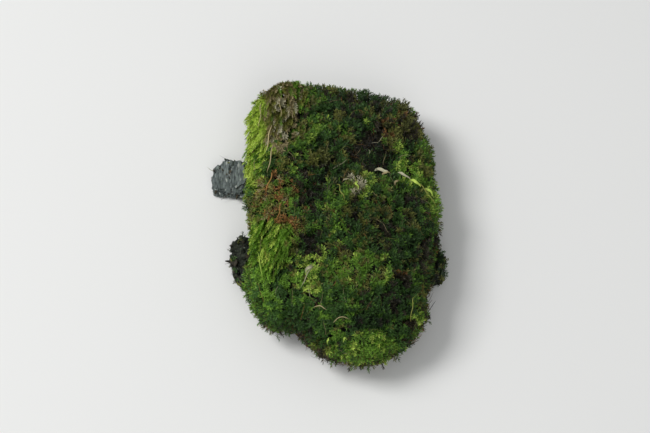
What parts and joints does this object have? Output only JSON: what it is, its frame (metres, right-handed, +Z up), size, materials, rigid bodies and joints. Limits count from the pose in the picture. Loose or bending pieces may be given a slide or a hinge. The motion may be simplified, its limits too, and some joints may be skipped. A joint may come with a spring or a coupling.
{
  "type": "moss clump",
  "caption": "Low oval cushion of green moss on a thin flat mat of humus, with dry strands and crumbs of bark and humus stuck to its rim.",
  "frame": {"origin": "the flat underside of the humus mat, below the middle of the clump", "axes": "+Z up out of the moss, +Y along the clump's length to its hidden end, +X to its right-hand side"},
  "size_m": [0.0756, 0.1007, 0.0262],
  "materials": {
    "moss": "living moss: fine leafy shoots, green to olive, slightly glossy leaves",
    "humus": "dark crumbly humus and rotted wood with dead moss stems, dull",
    "grey_bark": "grey rotten bark with pale specks, dull"
  },
  "bodies": {
    "root": {"moss_turf": "moss", "humus_mat": "humus", "bark_flake": "grey_bark", "humus_crumb": "humus", "humus_lump": "humus"}
  },
  "joints": []
}
